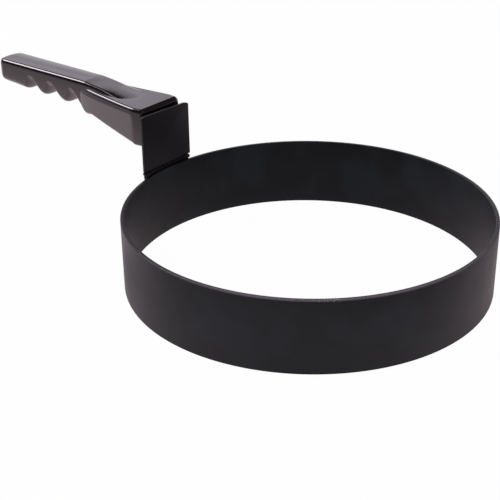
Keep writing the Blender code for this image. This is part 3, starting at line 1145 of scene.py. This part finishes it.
    def below(self, along: float) -> float:
        """Height of the underside on the middle plane.

        Args:
            along: Distance from the end face.

        Returns:
            The height above the handle's base.
        """
        if along >= self.fingers[0][0]:
            return self.fingers[0][1] + self.tip_slope * (along - self.fingers[0][0])
        if along > self.fingers[-1][0]:
            for (far, far_height), (near, near_height) in zip(self.fingers, self.fingers[1:]):
                if near <= along <= far:
                    return mix(near_height, far_height, ease(near, far, along))
        for (far, far_height), (near, near_height) in zip(self.neck_below, self.neck_below[1:]):
            if near <= along <= far:
                part = (along - near) / (far - near)
                if far == self.neck_below[0][0] or near == self.neck_below[4][0]:
                    part = ease(0.0, 1.0, part)
                return mix(near_height, far_height, part)
        return self.neck_below[-1][1]

    def section(self, along: float) -> list[Place]:
        """Closed outline of the handle at one place.

        Args:
            along: Distance from the end face.

        Returns:
            World places, starting under the middle and going up the far side.
        """
        # The tip is rounded in plan and at its lower edge, and eased at its upper one. The edge of
        # the end face is rounded all round.
        left = self.layout.handle_length - along
        tip_in = drawn_in(left, self.tip_corner)
        end_in = drawn_in(along, self.end_corner)
        end_down = drawn_in(along, self.end_round)
        lowered = drawn_in(left, self.tip_edge) + end_down
        body = self.half_width(along) - tip_in - end_in
        ridge = self.ridge_half(along) - tip_in - end_in
        top = self.top(along, 0.0) - lowered
        floor = self.below(along) + tip_in * self.tip_lower / self.tip_corner + end_in
        reach = max(0.0, self.tip_corner - left) / self.tip_corner
        flat = self.shoulder(along) - end_down
        # The side's upper edge comes down over the first third of the tip's corner
        flat = mix(flat, mix(floor, top, self.tip_side), min(1.0, 3.0 * reach))
        flank = max(0.0, body - ridge)
        # The neck's rounded shoulder comes out of the ridge's side, and only its outer part shows
        neck = ease(0.0, self.neck_length, along)
        rounded = self.shoulder_arc(mix(*self.shoulder_round, neck), flank)
        full = rounded.pop()[1]
        reached = rounded[-1][1]
        foot = flat - full + reached
        grip = ease(self.neck_length - 0.008, self.neck_length + 0.004, along)
        crest = mix(*self.crest_round, grip)
        crest_in = min(crest, self.crest_most[0] * ridge)
        crest_down = min(crest, self.crest_most[1] * (top - floor))
        edge_top = self.top(along, 1.0) - lowered
        low = edge_top - crest_down
        # Past the neck the side has no shoulder, so its points close up under the crest
        past = ease(0.0, 0.008, along - self.grip_start)
        foot = mix(foot, low - 0.1 * MM, past)
        crest_down = min(crest_down, max(SLIVER, edge_top - foot - SLIVER))
        low = edge_top - crest_down
        squeeze = self.flank_least * (1.0 - min(1.0, flank / self.flank_least))
        start = foot - reached - squeeze
        belly_up = min(mix(*self.belly_round, grip), self.belly_most * (low - floor))
        belly_up = min(belly_up, start - floor - 0.3 * MM)
        belly_in = mix(self.belly_in, body * self.belly_share, grip)
        half = arc((body - belly_in, floor + belly_up), (belly_in, belly_up), -90, 0, 18)
        half += [(body, mix(floor + belly_up, start, part / 8)) for part in range(1, 8)]
        for step, (deep, up) in enumerate(rounded):
            half.append((body - deep, start + up + squeeze * step / 16))
        half += [(mix(half[-1][0], ridge, part / 4), foot) for part in range(1, 4)]
        half += [(ridge, mix(foot, low, part / 4)) for part in range(4)]
        crown = self.grip_crown * grip
        flat_half = ridge - crest_in
        for side, part in arc((flat_half, 0.0), (crest_in, 1.0), 0, 90, 20):
            half.append((side, low + (self.top(along, side / ridge) - lowered - low) * part))
        for step in range(11, 0, -1):
            part = step / 12
            height = self.top(along, flat_half * part / ridge) - lowered
            half.append((flat_half * part, height + crown * (1.0 - part * part)))
        mirrored = [(-side, up) for side, up in reversed(half)]
        outline = [(0.0, floor)] + half + [(0.0, top + crown)] + mirrored
        return [self.layout.on_handle(along, side, up) for side, up in outline]

    def stations(self) -> list[float]:
        """Find where along the handle its sections stand.

        Returns:
            Distances from the end face.
        """
        length = self.layout.handle_length
        tip = length - self.tip_corner
        turns = [math.radians(7.5 * step) for step in range(12)]
        places = [self.end_round * (1.0 - math.cos(turn)) for turn in turns]
        places += spread(self.end_round, self.block_length, 0.0008)
        places += spread(self.block_length, tip, 0.0006)
        places += [tip + self.tip_corner * math.sin(math.radians(5 * step)) for step in range(18)]
        places.append(length - SLIVER)
        return places

    def cut_slot(self, handle: bpy.types.Object) -> None:
        """Cut the slot that the tang's leg enters.

        Args:
            handle: The handle that is cut.
        """
        layout = self.layout
        before = 4 * MM
        length = layout.tang_length + self.slot_room + before - layout.tang_wall
        middle = layout.handle_start - before + length / 2
        height = layout.tang_top - layout.tang_wall / 2
        bpy.ops.object.select_all(action="DESELECT")
        bpy.ops.mesh.primitive_cube_add(size=1.0, location=layout.at(middle, 0.0, height))
        cutter = bpy.context.active_object
        cutter.scale = (length, layout.tang_leg + 2 * GAP, layout.tang_wall + 2 * GAP)
        carve(handle, cutter, self.smooth)

    def cut_bore(self, handle: bpy.types.Object) -> None:
        """Cut the screw's bore and hole from below.

        Args:
            handle: The handle that is cut.
        """
        layout = self.layout
        floor = layout.tang_top - layout.tang_wall - layout.screw_wall
        out = layout.handle_start + layout.screw_along
        for radius, low, high in (
            (self.bore, layout.handle_base - 5 * MM, floor),
            (self.hole, floor - 2 * MM, layout.tang_top - layout.tang_wall / 2),
        ):
            middle = layout.at(out, 0.0, (low + high) / 2)
            bpy.ops.object.select_all(action="DESELECT")
            bpy.ops.mesh.primitive_cylinder_add(
                vertices=64, radius=radius, depth=high - low, location=middle
            )
            carve(handle, bpy.context.active_object, self.smooth)

    def build(self) -> bpy.types.Object:
        """Extrude the handle through its sections and cut its slot and bore.

        Returns:
            The handle.
        """
        sections = [self.section(along) for along in self.stations()]
        handle = extrude_through("handle_moulded", sections, self.smooth)
        self.cut_slot(handle)
        self.cut_bore(handle)
        dress(handle, GlossPhenolic().material())
        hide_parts("handle")
        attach(handle, "root")
        return handle


@dataclass
class Fastening:
    """The tang, its welds, the screw and its washer: CAD nodes that are shown as they are."""

    def dress_nodes(self) -> list[str]:
        """Give each carried node its finish.

        Returns:
            The names of the dressed nodes.
        """
        coat = NonstickCoat(
            name="nonstick_coat_tang_weld", dark="#0a0b0c", light="#111213", roughness=0.42
        ).material()
        black = PlainSteel("blackened_tang", "#1c1b19", "#0d0d0d", 0.48, 0.6).material()
        zinc = PlainSteel("zinc_plate", "#bcc0c6", "#9a9ea6", 0.26).material()
        spring = PlainSteel("oiled_spring_steel", "#8e8d8c", "#5f5e5d", 0.34).material()
        looks = {
            "handle_tang": black,
            "tang_weld_left": coat,
            "tang_weld_right": coat,
            "handle_screw": zinc,
            "lock_washer": spring,
        }
        for name, material in looks.items():
            dress(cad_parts[name], material)
        return list(looks)


# ---------------------------------------------------------------- studio


@dataclass(frozen=True)
class Softbox:
    """A soft lamp.

    Attributes:
        name: Name of the lamp.
        turn: Direction of the lamp from the object, in degrees from +X.
        lift: Height of the lamp above the horizon, in degrees.
        distance: Distance from the object.
        size: Width and height of its face.
        radiance: How bright its face looks, where 1 is white.
        colour: Its colour.
    """

    name: str
    turn: float
    lift: float
    distance: float
    size: tuple[float, float]
    radiance: float
    colour: str

    def build(self, aim: Place) -> None:
        """Place the lamp and point it at a place.

        Args:
            aim: The world place that it points at.
        """
        turn = math.radians(self.turn)
        lift = math.radians(self.lift)
        level = math.cos(lift)
        away = Vector((level * math.cos(turn), level * math.sin(turn), math.sin(lift)))
        place = Vector(aim) + self.distance * away
        data = bpy.data.lights.new(self.name, "AREA")
        data.shape = "RECTANGLE"
        data.size, data.size_y = self.size
        data.color = linear(self.colour)[:3]
        data.energy = self.radiance * math.pi * self.size[0] * self.size[1]
        lamp = bpy.data.objects.new(self.name, data)
        lamp.location = place
        lamp.rotation_euler = (Vector(aim) - place).to_track_quat("-Z", "Y").to_euler()
        bpy.context.scene.collection.objects.link(lamp)


@dataclass
class Studio:
    """White sweep, soft lamps and the camera.

    Attributes:
        layout: The shared frame.
        camera_place: Place of the camera.
        camera_turn: Turn of the camera about X, Y and Z, in degrees.
        lens: Focal length for a 36 mm sensor, in millimetres.
        shift: Upward shift of the picture.
        sweep_turn: Direction of the white sweep's middle, in degrees from +X.
        sweep_levels: Half its brightness, by the sine of the height above the horizon.
        room: Brightness of the unlit room in reflections.
        fill: Brightness of the room's even light.
        tint: Colour of the floor in reflections.
        sweep_tint: Colour of the sweep and the room.
        floor_shares: How much of the floor is plain white for the camera, where the rest keeps the
            shadow, and in reflections.
        glow: Brightness of the white table at the left in reflections.
        boxes: The soft lamps.
    """

    layout: Layout
    camera_place: Place = (0.35919, -0.43015, 0.27788)
    camera_turn: Place = (64.4998, 0.6624, 37.4307)
    lens: float = 77.18
    shift: float = -0.05
    sweep_turn: float = 135.5
    sweep_levels: tuple[tuple[float, float], ...] = (
        (0.00, 0.82),
        (0.15, 0.80),
        (0.25, 0.58),
        (0.34, 0.48),
        (0.38, 0.68),
        (0.42, 0.70),
        (0.47, 0.64),
        (0.56, 0.52),
        (0.61, 0.05),
    )
    room: float = 0.10
    fill: float = 0.30
    tint: str = "#ffecf3"
    sweep_tint: str = "#fbf1ff"
    floor_shares: tuple[float, float] = (0.985, 0.85)
    glow: float = 0.85
    boxes: tuple[Softbox, ...] = (
        Softbox("left_box", 186.5, 43.5, 1.3, (0.45, 0.34), 11.0, "#fff2fb"),
        Softbox("left_top_box", 186.0, 58.0, 1.3, (0.50, 0.26), 1.8, "#fff2fb"),
        Softbox("right_box", 20.0, 35.0, 1.4, (0.50, 0.50), 0.9, "#fff6f8"),
        Softbox("front_box", -43.0, 14.0, 1.2, (0.40, 0.25), 2.5, "#f6fbff"),
    )

    def build_camera(self) -> None:
        """Put the camera where the photograph was taken from."""
        data = bpy.data.cameras.new("camera")
        data.lens = self.lens
        data.sensor_width = 36.0
        data.shift_y = self.shift
        data.clip_start = 0.01
        camera = bpy.data.objects.new("camera", data)
        camera.location = self.camera_place
        camera.rotation_euler = Euler([math.radians(turn) for turn in self.camera_turn])
        bpy.context.scene.collection.objects.link(camera)
        bpy.context.scene.camera = camera

    def rays(self, tree: bpy.types.NodeTree) -> tuple[Feed, Feed]:
        """Find which rays see the background.

        Args:
            tree: The tree that needs it.

        Returns:
            What is 1 for camera rays, and what is 1 for glossy and transmission rays.
        """
        path = add_node(tree, "LightPath")
        kinds = {0: path.outputs["Is Glossy Ray"], 1: path.outputs["Is Transmission Ray"]}
        shown = add_node(tree, "Math", {".operation": "MAXIMUM"}, kinds)
        return path.outputs["Is Camera Ray"], shown

    def white_for_camera(
        self, tree: bpy.types.NodeTree, camera: Feed, tint: str, level: Feed
    ) -> dict[str, Feed]:
        """Give a background its colour and strength, plain white for the camera.

        Args:
            tree: The tree that needs them.
            camera: What is 1 for camera rays.
            tint: Colour for all other rays.
            level: What gives the strength for all other rays.

        Returns:
            What feeds the shader's Color and Strength.
        """
        colour = add_node(tree, "Mix", COLOUR | {6: linear(tint), 7: WHITE}, {0: camera})
        strength = add_node(tree, "MapRange", links={"Value": camera, "To Min": level})
        return {"Color": colour, "Strength": strength}

    def build_floor(self) -> None:
        """Lay a plain white floor that keeps a trace of the shadow."""
        bpy.ops.object.select_all(action="DESELECT")
        bpy.ops.mesh.primitive_plane_add(size=6.0, location=(0.0, 0.0, -0.0001))
        floor = bpy.context.active_object
        floor.name = "studio_floor"
        material = bpy.data.materials.new("studio_white")
        material.use_nodes = True
        tree = material.node_tree
        tree.nodes.clear()
        camera, shown = self.rays(tree)
        place = add_node(tree, "TexCoord").outputs["Object"]
        centre = (self.layout.axis_x, 0.0, 0.0)
        axis = add_node(tree, "VectorMath", {".operation": "DISTANCE", 1: centre}, {0: place})
        cut = add_node(tree, "SeparateXYZ", links={"Vector": place}).outputs
        # The dim part in front runs at a slant, further back towards the right
        slanted = {"From Min": -0.06, "From Max": 0.14, "To Max": 0.40}
        slant = add_node(tree, "MapRange", slanted, {"Value": cut["X"]})
        front = add_node(tree, "Math", {".operation": "ADD"}, {0: cut["Y"], 1: slant})
        # In reflections it has a painted pool of light under the left box and a painted shadow
        # inside the ring, and it is dimmer far to the right and in front of the handle
        lit = multiply_parts(
            tree,
            [
                (cut["X"], -0.02, -0.16, 0.92, 1.65),
                (axis, 0.090, 0.104, 0.62, 1.0),
                (cut["X"], 0.24, 0.34, 1.0, 0.35),
                (front, -0.135, -0.185, 1.0, 0.50),
            ],
        )
        matt = add_node(tree, "BsdfDiffuse", {"Color": linear("#f4f4f4")})
        look = self.white_for_camera(tree, camera, self.tint, lit)
        white = add_node(tree, "Emission", links=look)
        seen, mirrored = self.floor_shares
        share = add_node(tree, "Math", {".operation": "MULTIPLY", 1: mirrored}, {0: shown})
        share = add_node(
            tree, "Math", {".operation": "MULTIPLY_ADD", 1: seen}, {0: camera, 2: share}
        )
        both = add_node(tree, "MixShader", links={0: share, 1: matt, 2: white})
        add_node(tree, "OutputMaterial", links={"Surface": both})
        floor.data.materials.append(material)

    def build_world(self) -> None:
        """Surround the object: white for the camera, and in reflections a sweep behind it."""
        world = bpy.data.worlds.new("studio")
        bpy.context.scene.world = world
        world.use_nodes = True
        tree = world.node_tree
        tree.nodes.clear()
        camera, shown = self.rays(tree)
        way = add_node(tree, "TexCoord").outputs["Generated"]
        cut = add_node(tree, "SeparateXYZ", links={"Vector": way}).outputs
        turn = math.radians(self.sweep_turn)
        middle = (math.cos(turn), math.sin(turn), 0.0)
        towards = add_node(tree, "VectorMath", {".operation": "DOT_PRODUCT", 1: middle}, {0: way})
        # The sweep stands behind the object and reaches about 37 degrees above the horizon
        sides = {"From Min": 0.15, "From Max": 0.55}
        across = add_node(tree, "MapRange", sides, {"Value": towards})
        ramp = add_node(tree, "ValToRGB", links={"Fac": cut["Z"]})
        steps = ramp.color_ramp.elements
        for place, part in self.sweep_levels:
            steps.new(place).color = (part, part, part, 1.0)
        steps.remove(steps[0])
        steps[-1].color = (self.room / 2, self.room / 2, self.room / 2, 1.0)
        sweep = add_node(tree, "Math", {".operation": "MULTIPLY", 1: 2.0}, {0: ramp})
        # To the left the white table glows up to about 10 degrees above the horizon
        leftward = {"From Min": 0.3, "From Max": -0.3, "To Min": self.room, "To Max": self.glow}
        glow = add_node(tree, "MapRange", leftward, {"Value": cut["X"]})
        upward = {"From Max": 0.17, "To Max": self.room}
        around = add_node(tree, "MapRange", upward, {"Value": cut["Z"], "To Min": glow})
        levels = {"Value": across, "To Min": around, "To Max": sweep}
        mirrored = add_node(tree, "MapRange", links=levels)
        levels = {"Value": shown, "To Max": mirrored}
        level = add_node(tree, "MapRange", {"To Min": self.fill}, levels)
        look = self.white_for_camera(tree, camera, self.sweep_tint, level)
        sky = add_node(tree, "Background", links=look)
        add_node(tree, "OutputWorld", links={"Surface": sky})

    def build(self) -> None:
        """Build the camera, floor, world and lamps."""
        self.build_camera()
        self.build_floor()
        self.build_world()
        for box in self.boxes:
            box.build((0.0, 0.0, 0.04))
        bpy.context.scene.view_settings.view_transform = "Standard"


def main() -> None:
    logging.basicConfig(level=logging.INFO, format="%(message)s")
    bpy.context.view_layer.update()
    layout = Layout()
    Studio(layout).build()
    log.info("studio built")
    for assembly in (RingBand(layout), TabPlate(layout), RimWeld(layout), Handle(layout)):
        piece = assembly.build()
        log.info("%s: %d faces", piece.name, len(piece.data.polygons))
    for name in Fastening().dress_nodes():
        log.info("%s: dressed", name)


if __name__ == "__main__":
    main()
